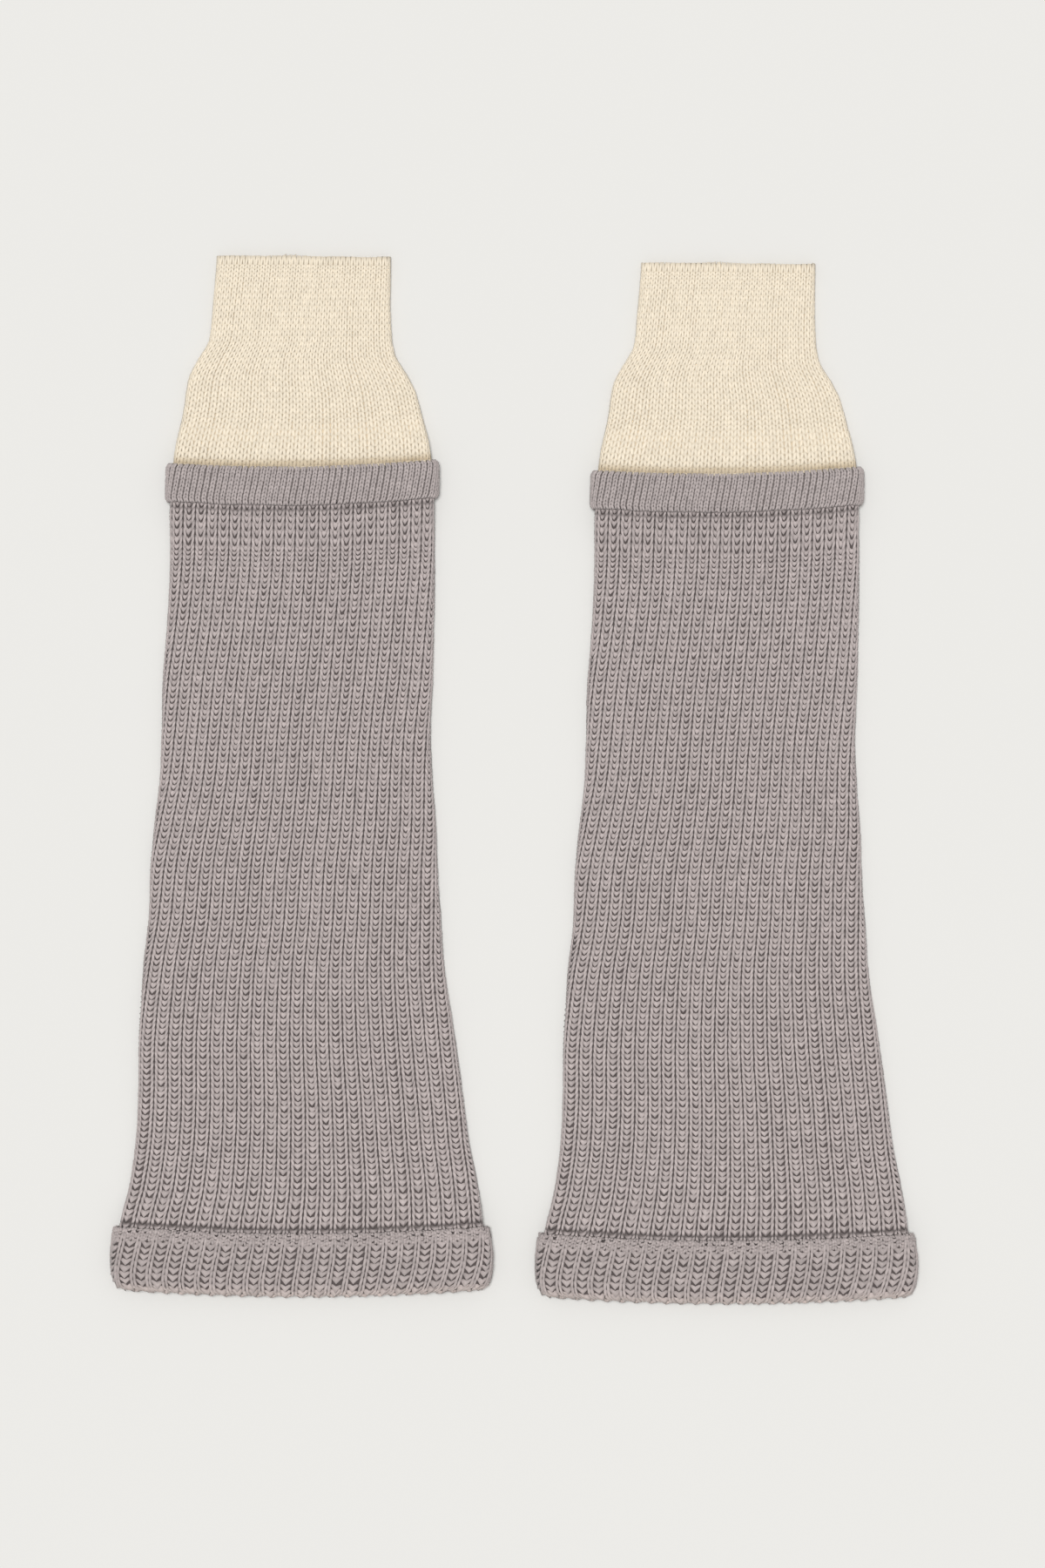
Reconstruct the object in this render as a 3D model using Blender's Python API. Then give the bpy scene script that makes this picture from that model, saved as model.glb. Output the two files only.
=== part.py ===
# A pair of rib-knitted leg warmers lying flat side by side. Each one is a tube pressed flat, so every
# stretch of it is a front wall lying on a back wall: a narrow cuff, a folded welt that covers the join,
# a long leg that widens downwards, and a hem turned up on the outside.
# +X is to the right, +Y runs from the hem to the cuff, +Z is up. Sizes are in millimetres until they
# become mesh points, which are in metres.

import math

import bmesh
import bpy

MM = 0.001

# Cloth
CLOTH = 2.3                     # thickness of one wall of ribbed knit
GAP = 0.3                       # clearance between pieces
LAYER = CLOTH + GAP
SIDE_EASE = 0.2                 # what a band's sides stand off besides

# The pair
LENGTH = 501.0                  # from the fold of the hem to the edge of the cuff
PAIR_SPACING = 204.5            # between the middle lines of the two
PAIR_STAGGER = 3.4              # how much lower the right one lies

# The join of the cuff and the leg, inside the welt
JOIN_HEIGHT = 391.0
WELT_BOTTOM = 380.2
WELT_TOP = 399.6
WELT_BOW = 2.4                  # how much higher the welt lies at its ends than in its middle
WELT_TILT = 0.9                 # how much it rises to the right

# The hem
HEM_TOP = 31.2
HEM_BOW = 3.4
FOLD_BOW = 3.6
LEG_END = 3.1                   # the leg stops this far above the fold of the hem
FOLD_RUN = 4.2                  # depth of the rounded fold
CORNER = 5.5                    # rounding of the hem's corners in plan

# Stretches where a wall drapes down to the surface beside a band that lies under it, low and high end
HEM_DRAPE = (35.5, 52.0)
WELT_DRAPE_BELOW = (361.0, 377.5)
WELT_DRAPE_ABOVE = (404.0, 421.0)
DRAPES = (HEM_DRAPE, WELT_DRAPE_BELOW, WELT_DRAPE_ABOVE)
DRAPE_STEPS = 4

# Rings
RING_SPACING = 16.0
EDGE_STEPS = 3                  # facets of the rounded fold along each side
FLAT_STEPS = 5                  # facets across the flat of a wall

ROW_COLUMNS = ("height", "left", "right", "bow", "tilt")

CUFF_ROWS = (
    (JOIN_HEIGHT + GAP / 2, -63.0, 63.5, WELT_BOW, WELT_TILT),
    (409.0, -60.9, 61.3, 2.0, 0.8),
    (426.0, -57.4, 57.3, 1.2, 0.5),
    (434.5, -56.2, 54.8, 0.9, 0.3),
    (443.0, -54.4, 50.6, 0.6, 0.2),
    (451.0, -50.0, 45.8, 0.4, 0.0),
    (459.5, -45.2, 43.8, 0.2, -0.1),
    (476.0, -43.3, 42.9, 0.0, -0.3),
    (LENGTH - 0.4, -41.4, 43.2, 0.0, -0.4),
)

LEG_ROWS = (
    (LEG_END, -88.0, 88.0, 3.4, 0.0),
    (7.0, -89.4, 89.2, 3.4, 0.0),
    (14.5, -89.8, 89.8, 3.4, 0.0),
    (23.0, -89.2, 88.9, 3.4, 0.0),
    (32.0, -87.6, 87.4, HEM_BOW, 0.0),
    (50.0, -83.4, 84.9, 2.8, 0.0),
    (73.0, -80.3, 80.6, 2.0, 0.0),
    (98.0, -79.1, 77.3, 1.5, 0.0),
    (124.0, -78.9, 73.8, 1.0, 0.0),
    (157.0, -76.9, 68.9, 0.5, 0.0),
    (182.0, -74.1, 67.1, 0.0, 0.0),
    (208.0, -73.3, 65.5, 0.0, 0.0),
    (226.0, -71.4, 64.8, 0.0, 0.0),
    (250.0, -68.7, 63.0, 0.0, 0.0),
    (270.0, -68.0, 62.3, 0.0, 0.0),
    (298.0, -67.2, 63.3, 0.2, 0.2),
    (325.0, -65.1, 63.8, 0.6, 0.4),
    (352.0, -63.9, 64.3, 1.4, 0.6),
    (376.0, -64.0, 64.0, WELT_BOW, WELT_TILT),
    (JOIN_HEIGHT - GAP / 2, -63.2, 63.8, WELT_BOW, WELT_TILT),
)

# Fullness is the part of the full wall that stands at that height, and hollow says whether the wall
# of the leg or the cuff lies inside.
BAND_COLUMNS = ("height", "bow", "tilt", "fullness", "hollow")

WELT_ROWS = (
    (WELT_BOTTOM, WELT_BOW, WELT_TILT, 0.55, 1.0),
    (WELT_BOTTOM + 1.6, WELT_BOW, WELT_TILT, 0.95, 1.0),
    (WELT_BOTTOM + 5.0, WELT_BOW, WELT_TILT, 1.0, 1.0),
    (JOIN_HEIGHT, WELT_BOW, WELT_TILT, 1.0, 1.0),
    (WELT_TOP - 2.6, WELT_BOW, WELT_TILT, 1.0, 1.0),
    (WELT_TOP - 0.8, WELT_BOW, WELT_TILT, 0.75, 1.0),
    (WELT_TOP, WELT_BOW, WELT_TILT, 0.35, 1.0),
)

HEM_ROWS = (
    (LEG_END - GAP, FOLD_BOW, 0.0, 1.0, 1.0),
    (8.0, FOLD_BOW, 0.0, 1.0, 1.0),
    (15.0, FOLD_BOW, 0.0, 1.0, 1.0),
    (23.0, HEM_BOW, 0.0, 1.0, 1.0),
    (HEM_TOP - 1.8, HEM_BOW, 0.0, 1.0, 1.0),
    (HEM_TOP, HEM_BOW, 0.0, 0.6, 1.0),
)
FOLD_ANGLES = (22.0, 42.0, 62.0)        # steps round the fold of the hem, in degrees


def clear_scene():
    for thing in list(bpy.data.objects):
        bpy.data.objects.remove(thing, do_unlink=True)


def knit_material(name, colour):
    material = bpy.data.materials.new(name)
    material.use_nodes = True
    shader = material.node_tree.nodes["Principled BSDF"]
    shader.inputs["Base Color"].default_value = (*colour, 1.0)
    shader.inputs["Roughness"].default_value = 0.92
    shader.inputs["Metallic"].default_value = 0.0
    return material


def named(columns, row):
    return dict(zip(columns, row))


def smooth_between(before, start, end, after, part):
    """A value between start and end on a soft curve that also heeds the rows on either side."""
    slope_in = (end - before) / 2
    slope_out = (after - start) / 2
    square = part * part
    cube = square * part
    return (
        (2 * cube - 3 * square + 1) * start
        + (cube - 2 * square + part) * slope_in
        + (3 * square - 2 * cube) * end
        + (cube - square) * slope_out
    )


def row_at(rows, height):
    """The row of a table at any height, blended smoothly from the rows round it."""
    last = len(rows) - 1
    index = 0
    while index < last - 1 and rows[index + 1][0] < height:
        index += 1
    start = rows[index]
    end = rows[index + 1]
    before = rows[max(index - 1, 0)]
    after = rows[min(index + 2, last)]
    part = (height - start[0]) / (end[0] - start[0])
    values = [height]
    for column in range(1, len(start)):
        values.append(smooth_between(before[column], start[column], end[column], after[column], part))
    return named(ROW_COLUMNS, values)


def section_heights(rows):
    """Heights of the rings: every row of the table, more where rows lie far apart, and each drape."""
    heights = {row[0] for row in rows}
    for start, end in zip(rows, rows[1:]):
        count = max(1, round((end[0] - start[0]) / RING_SPACING))
        heights.update(start[0] + (end[0] - start[0]) * step / count for step in range(1, count))
    for low, high in DRAPES:
        heights.update(low + (high - low) * step / DRAPE_STEPS for step in range(DRAPE_STEPS + 1))
    return sorted(height for height in heights if rows[0][0] <= height <= rows[-1][0])


def ease(value, low, high):
    part = min(max((value - low) / (high - low), 0.0), 1.0)
    return part * part * (3 - 2 * part)


def lift_at(height):
    """How high the lower wall lies over the surface: one layer where a band passes under it."""
    on_hem = 1 - ease(height, *HEM_DRAPE)
    on_welt = ease(height, *WELT_DRAPE_BELOW) * (1 - ease(height, *WELT_DRAPE_ABOVE))
    return LAYER * (on_hem + on_welt)


def half_outline(left, right, crown, edge):
    """Half of a flattened tube's cross-section, from its left fold over the top to its right fold."""
    points = []
    for step in range(EDGE_STEPS + 1):
        angle = math.pi / 2 * step / EDGE_STEPS
        points.append((left + edge * (1 - math.cos(angle)), crown * math.sin(angle)))
    flat_left = left + edge
    flat_right = right - edge
    for step in range(1, FLAT_STEPS):
        points.append((flat_left + (flat_right - flat_left) * step / FLAT_STEPS, crown))
    for step in range(EDGE_STEPS, -1, -1):
        angle = math.pi / 2 * step / EDGE_STEPS
        points.append((right - edge * (1 - math.cos(angle)), crown * math.sin(angle)))
    return points


def half_ring(height, bow, tilt, outer, inner, middle, side):
    """Outer and inner points of a front wall's ring, or of a back wall's, mirrored under the middle."""
    half_width = (outer[-1][0] - outer[0][0]) / 2
    ring = []
    for outline in (outer, inner):
        points = []
        for across, rise in outline:
            place = across / half_width
            along = height + bow * place * place + tilt * place
            points.append((across, along, middle + side * (GAP / 2 + rise)))
        ring.append(points)
    return ring


def wall_rings(rows, side):
    """Rings of a wall of the cuff or the leg, flat where it faces the other wall."""
    rings = []
    for height in section_heights(rows):
        row = row_at(rows, height)
        outer = half_outline(row["left"], row["right"], CLOTH, CLOTH)
        inner = half_outline(row["left"] + CLOTH / 2, row["right"] - CLOTH / 2, 0.0, CLOTH / 2)
        middle = lift_at(height) + CLOTH + GAP / 2
        rings.append(half_ring(height, row["bow"], row["tilt"], outer, inner, middle, side))
    return rings


def tube_row(height):
    """Where the sides of the inner tube lie at this height, cuff or leg."""
    if height > JOIN_HEIGHT:
        return row_at(CUFF_ROWS, height)
    return row_at(LEG_ROWS, max(height, LEG_END))


def band_ring(row, side):
    """Ring of a band that lies round the inner tube, one gap away from it."""
    tube = tube_row(row["height"])
    wall = CLOTH * row["fullness"]
    clear = GAP + SIDE_EASE
    hollow_left = tube["left"] - clear
    hollow_right = tube["right"] + clear
    outer = half_outline(hollow_left - wall, hollow_right + wall, LAYER + wall, CLOTH + clear + wall)
    inner = half_outline(hollow_left, hollow_right, LAYER * row["hollow"], CLOTH + clear)
    middle = 2 * CLOTH + 1.5 * GAP
    return half_ring(row["height"], row["bow"], row["tilt"], outer, inner, middle, side)


def fold_rings(side):
    """Rings of the rounded fold below the end of the leg, where the hem is solid cloth."""
    rings = []
    tube = tube_row(LEG_END)
    reach = GAP + CLOTH
    for degrees in FOLD_ANGLES:
        angle = math.radians(degrees)
        first = math.radians(FOLD_ANGLES[0])
        height = FOLD_RUN * (math.cos(first) - math.cos(angle))
        inset = CORNER * (1 - math.sin(angle))
        crown = (LAYER + CLOTH) * math.sin(angle)
        left = tube["left"] - reach + inset
        right = tube["right"] + reach - inset
        outer = half_outline(left, right, crown, LAYER + CLOTH)
        inner = half_outline(left + CLOTH, right - CLOTH, 0.0, CLOTH)
        middle = 2 * CLOTH + 1.5 * GAP
        rings.append(half_ring(height, FOLD_BOW, 0.0, outer, inner, middle, side))
    return rings


def welt_rings(side):
    return [band_ring(named(BAND_COLUMNS, row), side) for row in WELT_ROWS]


def hem_rings(side):
    return fold_rings(side) + [band_ring(named(BAND_COLUMNS, row), side) for row in HEM_ROWS]


def loft(name, rings, colour, middle_line, base_line):
    """One closed solid: a grid thickened by an extrusion, its two skins shaped by the rings."""
    shape = bmesh.new()
    across = len(rings[0][0]) - 1
    along = len(rings) - 1
    bmesh.ops.create_grid(shape, x_segments=across, y_segments=along, size=0.5)
    grown = bmesh.ops.extrude_face_region(shape, geom=shape.faces[:])["geom"]
    inner_corners = {part for part in grown if isinstance(part, bmesh.types.BMVert)}
    for corner in shape.verts:
        column = round((corner.co.x + 0.5) * across)
        outer, inner = rings[round((corner.co.y + 0.5) * along)]
        corner.co = inner[column] if corner in inner_corners else outer[column]
    bmesh.ops.translate(shape, verts=shape.verts, vec=(middle_line, base_line, 0.0))
    bmesh.ops.scale(shape, verts=shape.verts, vec=(MM, MM, MM))
    bmesh.ops.recalc_face_normals(shape, faces=shape.faces)
    mesh = bpy.data.meshes.new(name)
    shape.to_mesh(mesh)
    shape.free()
    mesh.materials.append(knit_material(name + "_knit", colour))
    mesh.shade_smooth()
    mesh.set_sharp_from_angle(angle=math.radians(50))
    thing = bpy.data.objects.new(name, mesh)
    bpy.context.scene.collection.objects.link(thing)


def leg_warmer(name, middle_line, base_line):
    cream = (0.82, 0.73, 0.57)
    grey = (0.356, 0.309, 0.301)
    for wall, side in (("front", 1), ("back", -1)):
        loft(f"{name}_cuff_{wall}", wall_rings(CUFF_ROWS, side), cream, middle_line, base_line)
        loft(f"{name}_welt_{wall}", welt_rings(side), grey, middle_line, base_line)
        loft(f"{name}_leg_{wall}", wall_rings(LEG_ROWS, side), grey, middle_line, base_line)
        loft(f"{name}_hem_{wall}", hem_rings(side), grey, middle_line, base_line)


clear_scene()
left_base = (PAIR_STAGGER - LENGTH) / 2
leg_warmer("left", -PAIR_SPACING / 2, left_base)
leg_warmer("right", PAIR_SPACING / 2, left_base - PAIR_STAGGER)
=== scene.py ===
import math

import bmesh
import bpy
import numpy as np
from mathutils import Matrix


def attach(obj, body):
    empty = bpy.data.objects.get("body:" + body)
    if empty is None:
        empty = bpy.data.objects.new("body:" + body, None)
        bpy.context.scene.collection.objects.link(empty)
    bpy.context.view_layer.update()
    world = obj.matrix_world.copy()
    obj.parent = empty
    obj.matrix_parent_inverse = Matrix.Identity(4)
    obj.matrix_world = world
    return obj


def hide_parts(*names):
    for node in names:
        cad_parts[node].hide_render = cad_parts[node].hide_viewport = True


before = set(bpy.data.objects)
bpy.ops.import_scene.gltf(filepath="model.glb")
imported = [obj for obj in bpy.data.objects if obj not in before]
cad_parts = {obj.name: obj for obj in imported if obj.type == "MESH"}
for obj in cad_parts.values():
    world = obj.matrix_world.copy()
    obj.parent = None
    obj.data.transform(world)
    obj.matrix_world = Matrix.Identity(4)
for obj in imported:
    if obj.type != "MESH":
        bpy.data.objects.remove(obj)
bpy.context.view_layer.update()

# A pair of rib-knitted leg warmers pressed flat. Every part of a leg warmer is a thin tube of cloth,
# and its stitches are drawn-out strands laid over that cloth, course by course.
# Sizes are in millimetres until they become mesh points, which are in metres.

scene = bpy.context.scene
mm = 0.001

pair = {
    "left": {"middleLine": -102.25, "baseLine": -248.8, "seed": 11},
    "right": {"middleLine": 102.25, "baseLine": -252.2, "seed": 29},
}

cloth = {
    "wales": 48,  # knit ribs all round
    "pile": 1.25,  # from the cloth's face to the crest of a stitch
    "wall": 0.7,
    "layer": 2.6,  # one thickness of knit and the gap beside it
    "middle": 2.45,  # from the floor to the middle of the fold, where nothing lies under it
    "bandDrop": 0.15,  # how much lower a band's middle lies than two layers
    "bandRelief": 0.4,  # share of the troughs that reach a band
    "floorGap": 0.03,
}

tube = {
    # height, left side, right side, how much higher the sides lie than the middle, rise to the right
    "cuffRows": (
        (391.15, -63.0, 63.5, 2.4, 0.9),
        (409.0, -60.9, 61.3, 2.0, 0.8),
        (426.0, -57.4, 57.3, 1.2, 0.5),
        (434.5, -56.2, 54.8, 0.9, 0.3),
        (443.0, -54.4, 50.6, 0.6, 0.2),
        (451.0, -50.0, 45.8, 0.4, 0.0),
        (459.5, -45.2, 43.8, 0.2, -0.1),
        (476.0, -43.3, 42.9, 0.0, -0.3),
        (500.6, -41.4, 43.2, 0.0, -0.4),
    ),
    "legRows": (
        (3.1, -88.0, 88.0, 3.4, 0.0),
        (7.0, -89.4, 89.2, 3.4, 0.0),
        (14.5, -89.8, 89.8, 3.4, 0.0),
        (23.0, -89.2, 88.9, 3.4, 0.0),
        (32.0, -87.6, 87.4, 3.4, 0.0),
        (50.0, -83.4, 84.9, 2.8, 0.0),
        (73.0, -80.3, 80.6, 2.0, 0.0),
        (98.0, -79.1, 77.3, 1.5, 0.0),
        (124.0, -78.9, 73.8, 1.0, 0.0),
        (157.0, -76.9, 68.9, 0.5, 0.0),
        (182.0, -74.1, 67.1, 0.0, 0.0),
        (208.0, -73.3, 65.5, 0.0, 0.0),
        (226.0, -71.4, 64.8, 0.0, 0.0),
        (250.0, -68.7, 63.0, 0.0, 0.0),
        (270.0, -68.0, 62.3, 0.0, 0.0),
        (298.0, -67.2, 63.3, 0.2, 0.2),
        (325.0, -65.1, 63.8, 0.6, 0.4),
        (352.0, -63.9, 64.3, 1.4, 0.6),
        (376.0, -64.0, 64.0, 2.4, 0.9),
        (390.85, -63.2, 63.8, 2.4, 0.9),
    ),
    # where a wall drapes down beside a band that lies under it: low end, high end
    "hemDrape": (35.5, 52.0),
    "weltDrapeBelow": (361.0, 377.5),
    "weltDrapeAbove": (404.0, 421.0),
    # height, how many wales the ribs have wandered to the right
    "legLean": (
        (0.0, -3.4), (36.0, -3.3), (87.0, -3.05), (120.0, -2.93), (154.0, -2.6), (188.0, -2.2),
        (221.0, -1.7), (255.0, -1.2), (288.0, -0.75), (322.0, -0.35), (355.0, 0.0), (391.0, 0.25),
    ),
    "cuffLean": ((391.0, -1.15), (420.0, -0.85), (450.0, -0.5), (501.0, 0.05)),
}


def tableAt(rows, places):
    table = np.array(rows, dtype=float)
    last = len(table) - 1
    places = np.clip(places, table[0, 0], table[-1, 0])
    index = np.clip(np.searchsorted(table[:, 0], places) - 1, 0, last - 1)
    start, end = table[index], table[index + 1]
    before, after = table[np.maximum(index - 1, 0)], table[np.minimum(index + 2, last)]
    part = ((places - start[:, 0]) / (end[:, 0] - start[:, 0]))[:, None]
    square, cube = part**2, part**3
    return (
        (2 * cube - 3 * square + 1) * start
        + (cube - 2 * square + part) * (end - before) / 2
        + (3 * square - 2 * cube) * end
        + (cube - square) * (after - start) / 2
    )


def ease(value, low, high):
    part = np.clip((value - low) / (high - low), 0.0, 1.0)
    return part * part * (3 - 2 * part)


def liftAt(height):
    onHem = 1 - ease(height, *tube["hemDrape"])
    onWelt = ease(height, *tube["weltDrapeBelow"]) * (1 - ease(height, *tube["weltDrapeAbove"]))
    return cloth["layer"] * (onHem + onWelt)


def profileTable(points):
    # distance along the cloth from its lower edge, height, half thickness, set in from the sides
    table = [(0.0, *points[0])]
    for before, after in zip(points, points[1:]):
        step = math.hypot(after[0] - before[0], after[1] - before[1])
        table.append((table[-1][0] + step, *after))
    return table


def foldPoints(values):
    points = []
    for degrees in values["foldTurns"]:
        turn = math.radians(degrees)
        height = values["foldMiddle"] - values["foldDepth"] * math.cos(turn)
        crown = values["foldCrown"] + values["foldRise"] * math.sin(turn)
        points.append((height, crown, values["foldCorner"] * (1 - math.sin(turn))))
    return points


hem = {
    "foldMiddle": 3.9, "foldDepth": 2.95, "foldCrown": 0.15, "foldRise": 3.65, "foldCorner": 5.5,
    "foldTurns": (6.0, 20.0, 35.0, 50.0, 65.0, 80.0),
    # height, half thickness, set in from the sides
    "wall": ((8.0, 3.8, 0.0), (15.0, 3.8, 0.0), (22.0, 3.8, 0.0), (28.0, 3.8, 0.0)),
    "rim": ((29.3, 3.66, 0.1), (29.9, 3.3, 0.3), (29.7, 2.95, 0.5)),
}

legStations = (4.4, 60.0, 120.0, 180.0, 240.0, 300.0, 360.0, 390.85)

parts = {
    # edge: radius of the turn at the sides, stand: how far the sides stand out, phase: first wale's place
    # shades of painted shade, and painted bands of a second colour: where along the cloth, reach, amount
    "cuff": {
        "profile": profileTable((
            (391.15, 1.2, 0.0), (420.0, 1.2, 0.0), (460.0, 1.2, 0.0), (497.0, 1.2, 0.0), (500.0, 1.05, 0.1),
        )),
        "rows": tube["cuffRows"], "lean": tube["cuffLean"],
        "edge": 1.1, "stand": -1.25, "band": False, "phase": 0.62,
        "shadeAndPaleBands": ((12.0, 1.2, 1.0),),  # painted brown shadow line just above the welt
    },
    "welt": {
        "profile": profileTable((
            (381.5, 2.95, 1.8), (381.2, 3.3, 1.4), (381.6, 3.66, 0.8), (383.0, 3.8, 0.2), (390.0, 3.8, 0.0),
            (396.6, 3.8, 0.1), (398.0, 3.66, 0.6), (398.4, 3.3, 1.1), (398.1, 2.95, 1.5),
        )),
        "rows": tube["legRows"], "lean": ((380.0, -0.28), (400.0, 0.22)),
        "edge": 3.6, "stand": 1.5, "band": True, "phase": 0.5,
    },
    "leg": {
        "profile": profileTable([(height, 1.2, 0.0) for height in legStations]),
        "rows": tube["legRows"], "lean": tube["legLean"],
        "edge": 1.1, "stand": -1.25, "band": False, "phase": 0.4,
        # painted shadow lines where the leg meets the hem and just below the welt, and a faint painted shade
        # over the lower leg
        "shades": ((31.1, 0.8, 1.0), (370.4, 2.2, 0.7), (38.0, 32.0, 0.14)),
    },
    "hem": {
        "profile": profileTable((*foldPoints(hem), *hem["wall"], *hem["rim"])),
        "rows": tube["legRows"], "lean": ((0.0, -3.85), (30.0, -3.3)),
        "edge": 3.6, "stand": 1.5, "band": True, "phase": 0.4,
        # painted shade darkens the hem; the painted band makes the fold at its bottom edge paler
        "shades": ((17.0, 14.0, 0.16),), "shadeAndPaleBands": ((0.8, 3.2, 1.0),),
        "scallop": 0.55, "scallopReach": (4.5, 1.5),  # ribs bulge at the fold, fading along the cloth
    },
}

# soft troughs in the cloth: across and along from the middle of the fold, reach, reach along, lean, depth
troughs = (
    (-38.0, 330.0, 14.0, 60.0, 0.10, 0.30),
    (30.0, 300.0, 12.0, 70.0, -0.12, 0.24),
    (-14.0, 205.0, 11.0, 80.0, 0.22, 0.22),
    (46.0, 190.0, 13.0, 55.0, 0.05, 0.30),
    (-58.0, 120.0, 12.0, 50.0, 0.16, 0.26),
    (12.0, 95.0, 16.0, 60.0, -0.08, 0.24),
    (55.0, 70.0, 10.0, 34.0, 0.20, 0.22),
    (-20.0, 452.0, 9.0, 30.0, -0.25, 0.22),
    (22.0, 436.0, 10.0, 26.0, 0.30, 0.20),
)


def reliefAt(x, y):
    sink = np.zeros_like(x)
    for across, along, reach, length, lean, depth in troughs:
        off = (x - across - lean * (y - along)) / reach
        sink += depth * np.exp(-(off**2) - ((y - along) / length) ** 2)
    return sink


def layAt(part, turn, across, along):
    # places on the tube's face, and the width of one wale there: turn counts wales round from the left side
    profile = tableAt(part["profile"], along)
    height, crown, inset = profile[:, 1], profile[:, 2], profile[:, 3]
    row = tableAt(part["rows"], height)
    left = row[:, 1] - part["stand"] + inset
    right = row[:, 2] + part["stand"] - inset
    edge = part["edge"]
    quarter = math.pi / 2 * np.sqrt(((edge + cloth["pile"]) ** 2 + (crown + cloth["pile"]) ** 2) / 2)
    flat = right - left - 2 * edge
    whole = 2 * flat + 4 * quarter
    lean = tableAt(part["lean"], height)[:, 1]
    run = np.mod((turn + lean) / cloth["wales"] * whole + across, whole)
    firstTurn = np.clip(run, 0, quarter)
    farTurn = np.clip(run - quarter - flat, 0, 2 * quarter)
    lastTurn = np.clip(run - 3 * quarter - 2 * flat, 0, quarter)
    bend = (firstTurn + farTurn + lastTurn) / quarter * math.pi / 2
    travel = np.clip(run - quarter, 0, flat) - np.clip(run - 3 * quarter - flat, 0, flat)
    x = left + edge * (1 - np.cos(bend)) + travel
    sideways = (x - (left + right) / 2) / ((right - left) / 2)
    y = height + row[:, 3] * sideways**2 + row[:, 4] * sideways
    relief = reliefAt(x, y)
    if part["band"]:
        middle = 2 * cloth["layer"] - cloth["bandDrop"]
        relief *= cloth["bandRelief"]
    else:
        middle = cloth["middle"] + liftAt(height)
    z = middle + (crown - relief) * np.sin(bend)
    return np.stack((x, y, z), axis=1), whole / cloth["wales"]


def outwardAt(part, turn, across, along, step=0.06):
    ahead, _ = layAt(part, turn, across + step, along)
    behind, _ = layAt(part, turn, across - step, along)
    above, _ = layAt(part, turn, across, along + step)
    below, _ = layAt(part, turn, across, along - step)
    outward = np.cross(ahead - behind, above - below)
    return outward / np.maximum(np.linalg.norm(outward, axis=1), 1e-9)[:, None]


def onFloor(points, leg):
    moved = points + np.array((leg["middleLine"], leg["baseLine"], 0.0))
    moved[:, 2] = np.maximum(moved[:, 2], cloth["floorGap"])
    return moved * mm


def finishPiece(name, mesh, material):
    piece = bpy.data.objects.new(name, mesh)
    scene.collection.objects.link(piece)
    mesh.materials.clear()
    mesh.materials.append(material)
    mesh.shade_smooth()
    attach(piece, "root")
    return piece


def node(tree, kind, **settings):
    made = tree.nodes.new(kind)
    for key, value in settings.items():
        setattr(made, key, value)
    return made


def noiseNode(tree, vector, scale, detail, roughness=0.5):
    noise = node(tree, "ShaderNodeTexNoise")
    noise.inputs["Scale"].default_value = scale
    noise.inputs["Detail"].default_value = detail
    noise.inputs["Roughness"].default_value = roughness
    tree.links.new(vector, noise.inputs["Vector"])
    return noise.outputs["Fac"]


yarnLook = {
    "mottle": (240.0, 3.0), "speck": (900.0, 2.0), "fibre": (3200.0, 2.0, 0.65),  # scale, detail, roughness
    "plyScale": 2.2, "plyDistortion": 1.6, "plyShare": 0.45, "fibreShare": 0.55,
    "footDepth": 0.50,  # share of the pile below which a strand darkens
    "smoothest": 0.82, "roughest": 0.98,
}
# the colour after Shadow is painted in bands: a brown shadow line on the cuff, a paler fold on the hem
yarnInputs = (
    ("Yarn", "NodeSocketColor"), ("Shadow", "NodeSocketColor"), ("Shadeandpale", "NodeSocketColor"),
    ("Heather", "NodeSocketFloat"), ("Depth", "NodeSocketFloat"),
)
yarnOutputs = (("Color", "NodeSocketColor"), ("Roughness", "NodeSocketFloat"), ("Fibre", "NodeSocketFloat"))


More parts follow.
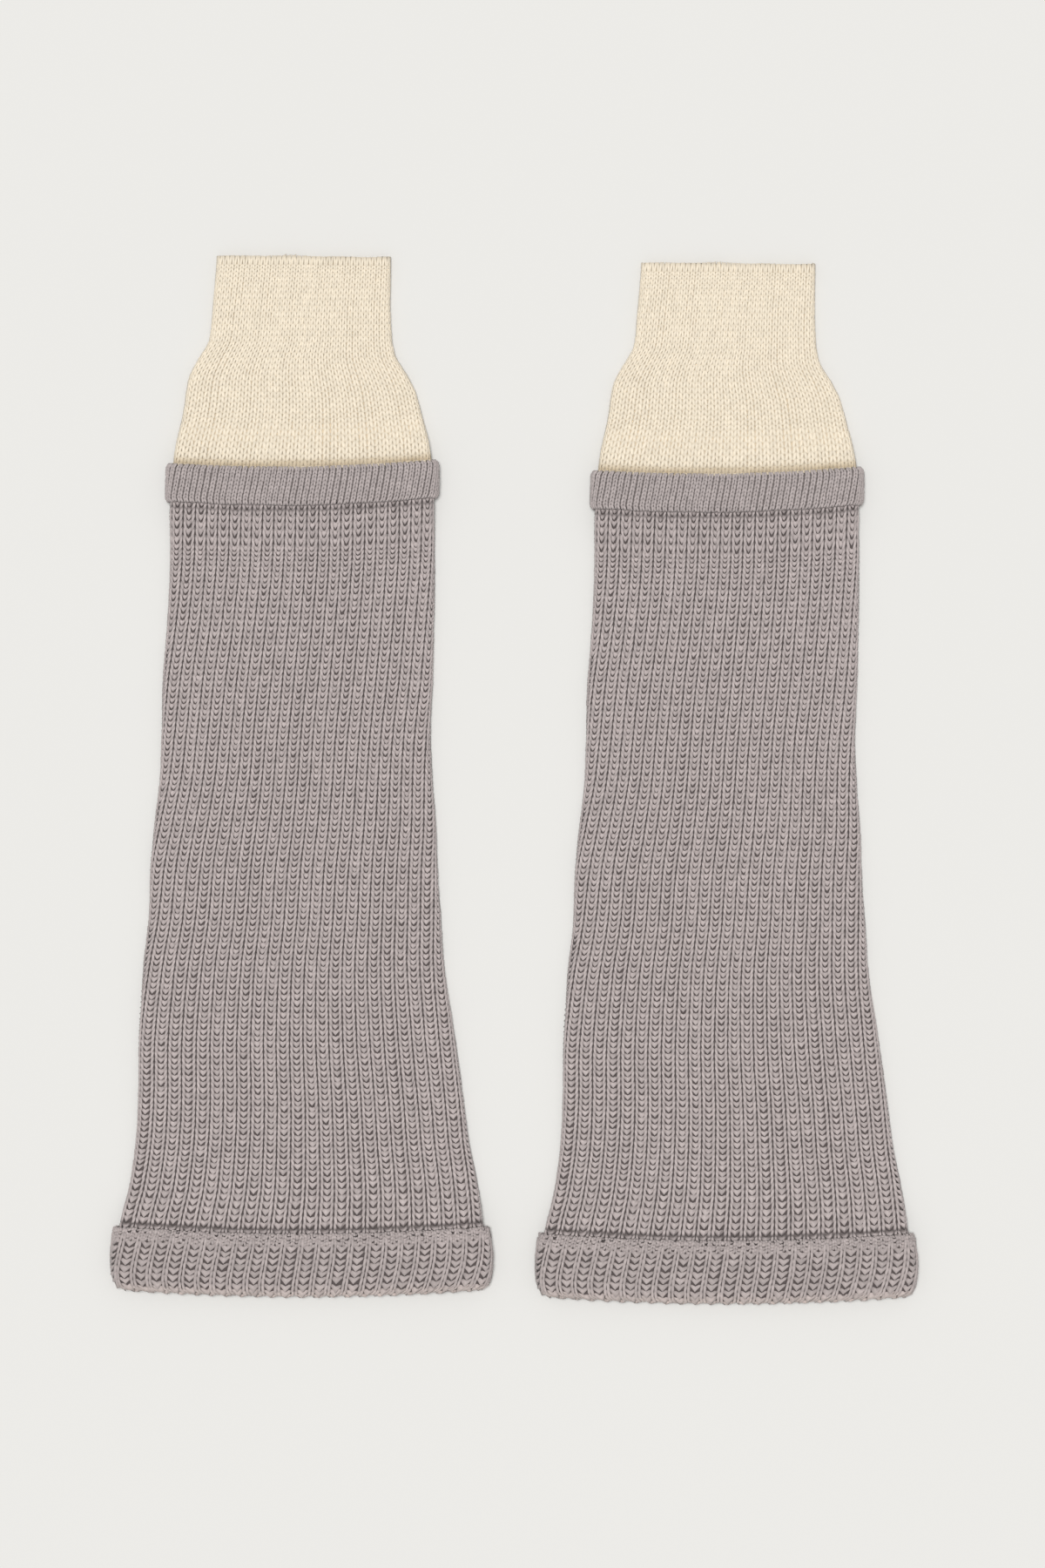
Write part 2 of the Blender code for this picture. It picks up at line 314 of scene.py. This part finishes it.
def yarnGroup():
    tree = bpy.data.node_groups.new("yarnTone", "ShaderNodeTree")
    for name, kind in yarnInputs:
        tree.interface.new_socket(name=name, in_out="INPUT", socket_type=kind)
    for name, kind in yarnOutputs:
        tree.interface.new_socket(name=name, in_out="OUTPUT", socket_type=kind)
    inward = node(tree, "NodeGroupInput")
    outward = node(tree, "NodeGroupOutput")
    onPiece = node(tree, "ShaderNodeTexCoord").outputs["Object"]
    depth = node(tree, "ShaderNodeAttribute", attribute_name="depth")
    tone = node(tree, "ShaderNodeAttribute", attribute_name="tone")
    # painted bands of a second colour: a shadow line on the cuff, a paler fold on the hem
    shadeandpale = node(tree, "ShaderNodeAttribute", attribute_name="shadeandpale")
    strand = node(tree, "ShaderNodeUVMap", uv_map="strand")
    link = tree.links.new

    mottle = noiseNode(tree, onPiece, *yarnLook["mottle"])
    speck = noiseNode(tree, onPiece, *yarnLook["speck"])
    fibre = noiseNode(tree, onPiece, *yarnLook["fibre"])
    ply = node(tree, "ShaderNodeTexWave", wave_type="BANDS", bands_direction="DIAGONAL")
    ply.inputs["Scale"].default_value = yarnLook["plyScale"]
    ply.inputs["Distortion"].default_value = yarnLook["plyDistortion"]
    link(strand.outputs["UV"], ply.inputs["Vector"])

    # brightness = 1 + heather * (mottle + speck + tone - their middles)
    gather = node(tree, "ShaderNodeMath", operation="ADD")
    link(mottle, gather.inputs[0])
    link(speck, gather.inputs[1])
    withTone = node(tree, "ShaderNodeMath", operation="ADD")
    link(gather.outputs[0], withTone.inputs[0])
    link(tone.outputs["Fac"], withTone.inputs[1])
    centred = node(tree, "ShaderNodeMath", operation="SUBTRACT")
    centred.inputs[1].default_value = 1.5
    link(withTone.outputs[0], centred.inputs[0])
    scaled = node(tree, "ShaderNodeMath", operation="MULTIPLY_ADD")
    scaled.inputs[2].default_value = 1.0
    link(centred.outputs[0], scaled.inputs[0])
    link(inward.outputs["Heather"], scaled.inputs[1])
    grey = node(tree, "ShaderNodeCombineColor")
    for channel in ("Red", "Green", "Blue"):
        link(scaled.outputs[0], grey.inputs[channel])
    painted = node(tree, "ShaderNodeMix", data_type="RGBA")
    link(shadeandpale.outputs["Fac"], painted.inputs["Factor"])
    link(inward.outputs["Yarn"], painted.inputs["A"])
    link(inward.outputs["Shadeandpale"], painted.inputs["B"])
    lit = node(tree, "ShaderNodeMix", data_type="RGBA", blend_type="MULTIPLY")
    lit.inputs["Factor"].default_value = 1.0
    link(painted.outputs["Result"], lit.inputs["A"])
    link(grey.outputs["Color"], lit.inputs["B"])

    # the foot of a strand lies in the shade of its neighbours
    foot = node(tree, "ShaderNodeMapRange", interpolation_type="SMOOTHSTEP")
    foot.inputs["From Min"].default_value = yarnLook["footDepth"]
    foot.inputs["From Max"].default_value = 0.0
    link(depth.outputs["Fac"], foot.inputs["Value"])
    deep = node(tree, "ShaderNodeMath", operation="MULTIPLY")
    link(foot.outputs["Result"], deep.inputs[0])
    link(inward.outputs["Depth"], deep.inputs[1])
    shaded = node(tree, "ShaderNodeMix", data_type="RGBA")
    link(deep.outputs[0], shaded.inputs["Factor"])
    link(lit.outputs["Result"], shaded.inputs["A"])
    link(inward.outputs["Shadow"], shaded.inputs["B"])
    link(shaded.outputs["Result"], outward.inputs["Color"])

    rough = node(tree, "ShaderNodeMapRange")
    rough.inputs["To Min"].default_value = yarnLook["smoothest"]
    rough.inputs["To Max"].default_value = yarnLook["roughest"]
    link(speck, rough.inputs["Value"])
    link(rough.outputs["Result"], outward.inputs["Roughness"])

    raised = node(tree, "ShaderNodeMath", operation="MULTIPLY_ADD")
    raised.inputs[1].default_value = yarnLook["fibreShare"]
    link(fibre, raised.inputs[0])
    plied = node(tree, "ShaderNodeMath", operation="MULTIPLY")
    plied.inputs[1].default_value = yarnLook["plyShare"]
    link(ply.outputs["Fac"], plied.inputs[0])
    link(plied.outputs[0], raised.inputs[2])
    link(raised.outputs[0], outward.inputs["Fibre"])
    return tree


def yarnMaterial(name, group, values):
    material = bpy.data.materials.new(name)
    material.use_nodes = True
    tree = material.node_tree
    shader = tree.nodes["Principled BSDF"]
    shader.inputs["Sheen Weight"].default_value = values["sheen"]
    shader.inputs["Sheen Roughness"].default_value = 0.55
    shader.inputs["Sheen Tint"].default_value = (*values["sheenTint"], 1.0)
    shader.inputs["Specular IOR Level"].default_value = 0.2
    yarn = node(tree, "ShaderNodeGroup", node_tree=group)
    for name in ("yarn", "shadow", "shadeandpale"):
        yarn.inputs[name.capitalize()].default_value = (*values.get(name, values["yarn"]), 1.0)
    yarn.inputs["Heather"].default_value = values["heather"]
    yarn.inputs["Depth"].default_value = values.get("depth", 0.0)
    bump = node(tree, "ShaderNodeBump")
    bump.inputs["Strength"].default_value = values["bump"]
    bump.inputs["Distance"].default_value = 0.15 * mm
    tree.links.new(yarn.outputs["Color"], shader.inputs["Base Color"])
    tree.links.new(yarn.outputs["Roughness"], shader.inputs["Roughness"])
    tree.links.new(yarn.outputs["Fibre"], bump.inputs["Height"])
    tree.links.new(bump.outputs["Normal"], shader.inputs["Normal"])
    return material


# yarns have a painted shade for the feet of their strands and a painted band, a shadow line on the cuff and a
# pale fold on the hem; grounds lie under them
finishes = {
    "creamYarn": {
        # its third colour is the brown of a painted shadow line above the welt
        "yarn": (0.84, 0.745, 0.598), "shadow": (0.74, 0.625, 0.46), "shadeandpale": (0.40, 0.29, 0.15),
        "heather": 0.16, "depth": 0.85, "bump": 0.4, "sheen": 0.2, "sheenTint": (1.0, 0.97, 0.9),
    },
    # the grounds are painted darker than their yarns: painted shade in the gaps between the stitches
    "creamShadedGround": {
        "yarn": (0.78, 0.66, 0.49),
        "heather": 0.12, "bump": 0.6, "sheen": 0.1, "sheenTint": (1.0, 0.97, 0.9),
    },
    "greyYarn": {
        "yarn": (0.47, 0.411, 0.40), "shadow": (0.11, 0.09, 0.087), "shadeandpale": (0.56, 0.475, 0.44),
        "heather": 0.36, "depth": 0.9, "bump": 0.9, "sheen": 0.3, "sheenTint": (0.97, 0.94, 0.93),
    },
    # the grey yarn painted darker for the hem: painted shade, darker towards the bottom
    "hemYarn": {
        "yarn": (0.432, 0.377, 0.366), "shadow": (0.11, 0.09, 0.087), "shadeandpale": (0.56, 0.475, 0.44),
        "heather": 0.36, "depth": 0.9, "bump": 0.9, "sheen": 0.3, "sheenTint": (0.97, 0.94, 0.93),
    },
    "weltYarn": {
        "yarn": (0.44, 0.386, 0.376), "shadow": (0.17, 0.143, 0.139), "shadeandpale": (0.56, 0.475, 0.44),
        "heather": 0.3, "depth": 0.8, "bump": 0.9, "sheen": 0.3, "sheenTint": (0.97, 0.94, 0.93),
    },
    "greyShadedGround": {
        "yarn": (0.12, 0.10, 0.097),
        "heather": 0.3, "bump": 0.6, "sheen": 0.1, "sheenTint": (0.97, 0.94, 0.93),
    },
    "weltShadedGround": {
        "yarn": (0.20, 0.172, 0.166),
        "heather": 0.2, "bump": 0.6, "sheen": 0.1, "sheenTint": (0.97, 0.94, 0.93),
    },
}
yarnTone = yarnGroup()
material = {name: yarnMaterial(name, yarnTone, values) for name, values in finishes.items()}
print("finishes made")

# the thin cloth under the stitches: quads all round, and millimetres from one row of them to the next
clothGrid = {"around": 96, "alongStep": 9.5, "fewestRows": 8, "weld": 0.02, "weaveStep": 2.8}


def clothShell(name, part, leg, ground):
    length = part["profile"][-1][0]
    along = max(clothGrid["fewestRows"], round(length / clothGrid["alongStep"]))
    around = clothGrid["around"]
    shape = bmesh.new()
    bmesh.ops.create_grid(shape, x_segments=around, y_segments=along, size=0.5)
    corners = np.array([corner.co for corner in shape.verts])
    turn = (corners[:, 0] + 0.5) * cloth["wales"]
    reach = (corners[:, 1] + 0.5) * length
    lean = tableAt(part["lean"], tableAt(part["profile"], reach)[:, 1])[:, 1]
    points = onFloor(layAt(part, turn - lean, np.zeros_like(turn), reach)[0], leg)
    weave = shape.loops.layers.uv.new("strand")
    for face in shape.faces:
        for loop in face.loops:
            loop[weave].uv = (turn[loop.vert.index], reach[loop.vert.index] / clothGrid["weaveStep"])
    for corner, point in zip(shape.verts, points):
        corner.co = point
    bmesh.ops.remove_doubles(shape, verts=shape.verts, dist=clothGrid["weld"] * mm)
    bmesh.ops.recalc_face_normals(shape, faces=shape.faces)
    bmesh.ops.solidify(shape, geom=shape.faces[:], thickness=cloth["wall"] * mm)
    mesh = bpy.data.meshes.new(name)
    shape.to_mesh(mesh)
    shape.free()
    return finishPiece(name, mesh, ground)


# A strand is a ball drawn out along a path of stations, tip to tip: across, along, rise, half thickness.
# Along is in course heights. A knit leg's across is from the axis of its wale, and a purl bar's is its
# part of the way between the legs of two wales. Where the rib opens out, a style has two paths for a
# strand, and they are mixed as the width of a wale goes from the first of its pitches to the second.
stitches = {
    "leg": {
        "course": 2.8, "pitches": (5.3, 7.3), "uneven": 0.55, "reach": (1.00, 1.00),
        "leg": (
            (
                (0.30, 0.82, 0.58, 0), (0.72, 0.34, 0.64, 0.58),
                (1.36, -0.46, 0.54, 0.62), (1.70, -1.00, 0.10, 0),
            ),
            (
                (0.40, 0.82, 0.58, 0), (0.78, 0.34, 0.64, 0.60),
                (1.26, -0.46, 0.54, 0.62), (1.54, -1.00, 0.10, 0),
            ),
        ),
        "bar": (
            (
                (-0.05, -0.34, -0.10, 0), (0.20, -0.56, -0.06, 0.60), (0.50, -0.94, 0.06, 1.04),
                (0.80, -0.56, -0.06, 0.60), (1.05, -0.34, -0.10, 0),
            ),
            (
                (-0.05, -0.26, 0.08, 0), (0.17, -0.48, 0.06, 0.58), (0.50, -0.98, 0.24, 1.28),
                (0.83, -0.48, 0.06, 0.58), (1.05, -0.26, 0.08, 0),
            ),
        ),
    },
    "cuff": {  # a fine rib whose knit and purl columns both show as chains
        "course": 2.6, "wales": 72, "pitches": (2.4, 3.45), "uneven": 0.45, "crown": 0.5,
        "leg": (
            (
                (0.24, 0.98, 0.40, 0), (0.42, 0.45, 0.62, 0.56),
                (0.78, -0.42, 0.58, 0.56), (0.90, -1.02, 0.30, 0),
            ),
            (
                (0.34, 0.98, 0.40, 0), (0.60, 0.45, 0.64, 0.74),
                (1.14, -0.42, 0.58, 0.74), (1.28, -1.02, 0.30, 0),
            ),
        ),
    },
    "hem": {
        "course": 2.9, "uneven": 0.6, "reach": (0.90,),
        "leg": ((
            (0.52, 0.86, 0.50, 0), (0.70, 0.34, 0.60, 0.66),
            (0.90, -0.46, 0.54, 0.66), (1.04, -1.05, 0.20, 0),
        ),),
        "bar": ((
            (-0.04, -0.26, 0.12, 0), (0.17, -0.48, 0.10, 0.68), (0.50, -1.00, 0.26, 1.32),
            (0.83, -0.48, 0.10, 0.68), (1.04, -0.26, 0.12, 0),
        ),),
    },
    "link": {  # the fine edge that links the hem to the leg
        "course": 1.65, "wales": 96, "uneven": 1.5, "reach": (0.60,),
        "leg": ((
            (0.10, 0.66, 0.50, 0), (0.34, 0.30, 0.56, 0.60),
            (0.80, -0.40, 0.50, 0.60), (1.05, -0.90, 0.2, 0),
        ),),
        "bar": ((
            (-0.05, -0.30, 0.30, 0), (0.25, -0.50, 0.30, 0.64), (0.50, -0.66, 0.36, 0.70),
            (0.75, -0.50, 0.30, 0.64), (1.05, -0.30, 0.30, 0),
        ),),
    },
    "welt": {
        "course": 1.75, "wales": 96, "uneven": 0.5,
        "leg": ((
            (0.32, 0.95, 0.44, 0), (0.50, 0.40, 0.56, 0.54),
            (0.74, -0.42, 0.56, 0.54), (0.84, -0.95, 0.44, 0),
        ),),
    },
}
# how unevenly hand and yarn lay the stitches
hand = {
    # waves all round the tube, radians of phase for each millimetre along it, amount
    "walesDrift": ((13, 0.011, 0.03), (3, -0.018, 0.08)),
    "coursesDrift": ((7, 0.05, 0.10), (3, -0.021, 0.12)),
    "thicker": 0.07, "turned": 0.07, "across": 0.08, "along": 0.09, "rise": 0.10,
    "crown": 0.8,  # a strand's thickness upwards for its thickness sideways
    "cornerReach": 1.15,  # how far the three-sided strands of the back reach past their thickness
    "barSpread": 4.0,  # a bar's width in millimetres, near enough to find which way it runs
    "palest": 0.75, "darkest": 0.25,
    "endGap": 0.05, "overrun": 1.5,  # from the cloth's ends, and past a stretch's last course
}
strandKinds = ("right", "left", "bar")


def strandForm(path, ball, spread, step, sides, crown):
    # the points of a drawn-out ball, whose poles are the path's tips
    path = np.array(path, dtype=float)
    last = len(path) - 1
    index = np.round(np.arccos(np.clip(ball[:, 2], -1, 1)) / math.pi * last).astype(int)
    course = path[np.maximum(index - 1, 0), :2] - path[np.minimum(index + 1, last), :2]
    course = course * (spread, step)
    course /= np.maximum(np.linalg.norm(course, axis=1), 1e-9)[:, None]
    if sides == 4:  # a corner's reach, and a turn that puts a flat side on top
        around = np.arctan2(ball[:, 1], ball[:, 0]) + math.pi / 4
        thick = path[index, 3] * math.sqrt(2)
    else:
        around = np.arctan2(ball[:, 1], ball[:, 0])
        thick = path[index, 3] * hand["cornerReach"]
    side, up = thick * np.cos(around), thick * crown * np.sin(around)
    return path[index, 0], path[index, 1], path[index, 2] + up, -course[:, 1] * side, course[:, 0] * side


def strandBalls(sides, own):
    shape = bmesh.new()
    shape.loops.layers.uv.new("strand")
    owner = shape.verts.layers.int.new("owner")
    for kind in own:
        rings = 3 if kind == "bar" else 2
        made = bmesh.ops.create_uvsphere(
            shape, u_segments=sides, v_segments=rings + 1, radius=1.0, calc_uvs=True,
        )["verts"]
        for corner in made:
            corner[owner] = strandKinds.index(kind)
        if kind == "left":
            faces = {face for corner in made for face in corner.link_faces}
            bmesh.ops.reverse_faces(shape, faces=list(faces))
    balls = np.array([corner.co for corner in shape.verts])
    kinds = np.array([strandKinds[corner[owner]] for corner in shape.verts])
    shape.verts.layers.int.remove(owner)
    return shape, balls, kinds


def repeated(name, shape, count):
    mesh = bpy.data.meshes.new(name)
    shape.to_mesh(mesh)
    shape.free()
    first = bpy.data.objects.new(name, mesh)
    scene.collection.objects.link(first)
    courses = first.modifiers.new("courses", "ARRAY")
    courses.use_relative_offset = False
    courses.count = count
    bpy.context.view_layer.update()
    whole = bpy.data.meshes.new_from_object(first.evaluated_get(bpy.context.evaluated_depsgraph_get()))
    bpy.data.objects.remove(first)
    bpy.data.meshes.remove(mesh)
    whole.name = name
    return whole


def driftOf(rows, circle, along):
    return sum(amount * np.sin(turns * circle + along * slope) for turns, slope, amount in rows)


def bandsAt(rows, along):
    return [amount * np.exp(-(((along - middle) / width) ** 2)) for middle, width, amount in rows]


def knitStitches(name, part, style, leg, span, front, yarn, seed):
    courses = max(1, round((span[1] - span[0]) / style["course"]))
    step = (span[1] - span[0]) / courses
    wales = cloth["wales"]
    columns = style.get("wales", wales)
    column, level = np.meshgrid(np.arange(columns), np.arange(courses))
    column, level = column.ravel() * wales / columns, level.ravel()
    along = span[0] + (level + 0.5) * step
    circle = column * 2 * math.pi / wales
    turn = column + part["phase"] + driftOf(hand["walesDrift"], circle, along)
    lean = tableAt(part["lean"], tableAt(part["profile"], along)[:, 1])[:, 1]
    onFront = np.mod(turn + lean, wales) < wales / 2
    keep = onFront if front else ~onFront
    turn, along, circle = turn[keep], along[keep], circle[keep]
    count = len(turn)
    pitch = layAt(part, turn, np.zeros(count), along)[1] * wales / columns
    uneven = style["uneven"]
    stretch = np.zeros((count, 1))
    if "pitches" in style:
        tightPitch, widePitch = style["pitches"]
        stretch = np.clip((pitch[:, None] - tightPitch) / (widePitch - tightPitch), 0, 1)

    sides = 4 if front else 3
    own = strandKinds if "bar" in style else strandKinds[:2]
    shape, balls, kinds = strandBalls(sides, own)
    chance = np.random.default_rng(seed)
    corners = len(balls)
    across, up, rise = (np.zeros((count, corners)) for _ in range(3))
    for kind in own:
        mine = kinds == kind
        paths = style["bar" if kind == "bar" else "leg"]
        spread = hand["barSpread"] if kind == "bar" else 1.0
        crown = style.get("crown", hand["crown"])
        tight, wide = (
            strandForm(path, balls[mine], spread, step, sides, crown) for path in (paths[0], paths[-1])
        )
        x, y, z, sideX, sideY = (near * (1 - stretch) + far * stretch for near, far in zip(tight, wide))
        grow = 1 + hand["thicker"] * chance.standard_normal((count, 1))
        if kind == "bar":
            reach = style["reach"][0] * (1 - stretch) + style["reach"][-1] * stretch
            x = reach + x * (pitch[:, None] - 2 * reach)
        turned = hand["turned"] * uneven * chance.standard_normal((count, 1))
        x = x + sideX * grow + hand["across"] * uneven * chance.standard_normal((count, 1))
        y = y * step + sideY * grow + hand["along"] * uneven * chance.standard_normal((count, 1)) + turned * x
        z = z + hand["rise"] * uneven * chance.standard_normal((count, 1))
        across[:, mine] = -x if kind == "left" else x
        up[:, mine] = y
        rise[:, mine] = z
    turns = np.repeat(turn, corners)
    reach = np.repeat(along + driftOf(hand["coursesDrift"], circle, along), corners) + up.ravel()
    farEnd = min(part["profile"][-1][0] - hand["endGap"], span[1] + hand["overrun"])
    reach = np.clip(reach, hand["endGap"], farEnd)
    across, rise = across.ravel(), rise.ravel()
    if "scallop" in part:
        inWale = np.repeat(turn - part["phase"], corners) + across / np.repeat(pitch, corners)
        bulge = 0.5 - 0.5 * np.cos(2 * math.pi * inWale)
        rise += part["scallop"] * ease(reach, *part["scallopReach"]) * bulge
    points, _ = layAt(part, turns, across, reach)
    points += outwardAt(part, turns, across, reach) * rise[:, None]

    mesh = repeated(name, shape, count)
    mesh.vertices.foreach_set("co", onFloor(points, leg).ravel())
    tone = hand["darkest"] + (hand["palest"] - hand["darkest"]) * chance.random((count, 3))
    toneOf = np.zeros((count, corners))
    for index, kind in enumerate(strandKinds):
        toneOf[:, kinds == kind] = tone[:, index:index + 1]
    mesh.attributes.new("tone", "FLOAT", "POINT").data.foreach_set("value", toneOf.ravel())
    depth = np.clip(rise / cloth["pile"], 0, 1)
    # the shades lower the depth, so the strands there take the painted shadow colour
    for shade in bandsAt(part.get("shades", ()), reach):
        depth *= 1 - shade
    mesh.attributes.new("depth", "FLOAT", "POINT").data.foreach_set("value", depth)
    # painted bands: a brown shadow line on the cuff, a paler fold on the hem
    shadeandpale = np.zeros_like(reach)
    for painted in bandsAt(part.get("shadeAndPaleBands", ()), reach):
        shadeandpale += painted
    mesh.attributes.new("shadeandpale", "FLOAT", "POINT").data.foreach_set("value", np.clip(shadeandpale, 0, 1))
    mesh.update()
    return finishPiece(name, mesh, yarn)


pieceValues = {
    # cut: width all round and length in metres, with its area in square metres
    # stretches: the stitches it is knitted in, from where to where along the cloth
    "cuff": {
        "cut": (0.256, 0.110), "area": 0.0232,
        "yarn": "creamYarn", "ground": "creamShadedGround", "slot": "cream_knit",
        "stretches": (("cuff", 5.6, 107.0),),
    },
    "welt": {
        "cut": (0.285, 0.021), "area": 0.0058,
        "yarn": "weltYarn", "ground": "weltShadedGround", "slot": "grey_knit",
        "stretches": (("welt", 0.6, 18.0),),
    },
    "leg": {
        "cut": (0.362, 0.387), "area": 0.110,
        "yarn": "greyYarn", "ground": "greyShadedGround", "slot": "grey_knit",
        "stretches": (("leg", 22.5, 378.6),),
    },
    "hem": {
        "cut": (0.376, 0.036), "area": 0.0131,
        "yarn": "hemYarn", "ground": "greyShadedGround", "slot": "grey_knit",
        "stretches": (("hem", 0.9, 28.0), ("link", 25.4, 31.9)),
    },
}

for side, leg in pair.items():
    for kind, values in pieceValues.items():
        part = parts[kind]
        title = side + kind.capitalize()
        shell = clothShell(title + "Cloth", part, leg, material[values["ground"]])
        sewn = []
        for knit, first, last in values["stretches"]:
            for front in (True, False):
                name = title + ("Front" if front else "Back") + knit.capitalize() + "Stitches"
                sewn.append(knitStitches(
                    name, part, stitches[knit], leg, (first, last), front,
                    material[values["yarn"]], leg["seed"] + len(sewn),
                ))
        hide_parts(f"{side}_{kind}_front", f"{side}_{kind}_back")
        print(title, "made,", sum(len(piece.data.polygons) for piece in (shell, *sewn)), "faces")

studio = {
    "floorSize": 6.0, "floorTone": (0.723, 0.716, 0.694), "floorMottle": 1.5, "floorPaler": 1.012,
    "sky": (1.0, 0.995, 0.985), "skyStrength": 0.44,
    "lampTurn": (-5.0, -4.0, 0.0), "lampSpread": 20.0, "lampPower": 2.27,
    "cameraPlace": (0.0040, -0.0023), "cameraHeight": 2.6,
    "view": 0.756,  # metres of floor from the frame's top to its bottom
    "sensor": 36.0,
}


def floorMaterial():
    material = bpy.data.materials.new("paleFloor")
    material.use_nodes = True
    tree = material.node_tree
    shader = tree.nodes["Principled BSDF"]
    shader.inputs["Roughness"].default_value = 0.9
    shader.inputs["Specular IOR Level"].default_value = 0.1
    mottle = noiseNode(tree, node(tree, "ShaderNodeTexCoord").outputs["Object"], studio["floorMottle"], 2.0)
    tint = node(tree, "ShaderNodeMix", data_type="RGBA")
    tint.inputs["A"].default_value = (*studio["floorTone"], 1.0)
    tint.inputs["B"].default_value = (*(tone * studio["floorPaler"] for tone in studio["floorTone"]), 1.0)
    tree.links.new(mottle, tint.inputs["Factor"])
    tree.links.new(tint.outputs["Result"], shader.inputs["Base Color"])
    return material


floorShape = bmesh.new()
bmesh.ops.create_grid(floorShape, x_segments=1, y_segments=1, size=studio["floorSize"] / 2)
floorMesh = bpy.data.meshes.new("floor")
floorShape.to_mesh(floorMesh)
floorShape.free()
floorMesh.materials.append(floorMaterial())
floor = bpy.data.objects.new("floor", floorMesh)
scene.collection.objects.link(floor)

world = bpy.data.worlds.new("studio")
world.use_nodes = True
world.node_tree.nodes["Background"].inputs["Color"].default_value = (*studio["sky"], 1.0)
world.node_tree.nodes["Background"].inputs["Strength"].default_value = studio["skyStrength"]
scene.world = world

lampData = bpy.data.lights.new("softLamp", "SUN")
lampData.angle = math.radians(studio["lampSpread"])
lampData.energy = studio["lampPower"]
lamp = bpy.data.objects.new("softLamp", lampData)
lamp.rotation_euler = [math.radians(turn) for turn in studio["lampTurn"]]
lamp.location = (0.0, 0.0, 2.0)
scene.collection.objects.link(lamp)

cameraData = bpy.data.cameras.new("camera")
cameraData.sensor_width = studio["sensor"]
cameraData.lens = studio["sensor"] * studio["cameraHeight"] / studio["view"]
camera = bpy.data.objects.new("camera", cameraData)
camera.location = (*studio["cameraPlace"], studio["cameraHeight"])
scene.collection.objects.link(camera)
scene.camera = camera
scene.view_settings.view_transform = "Standard"
print("studio made")
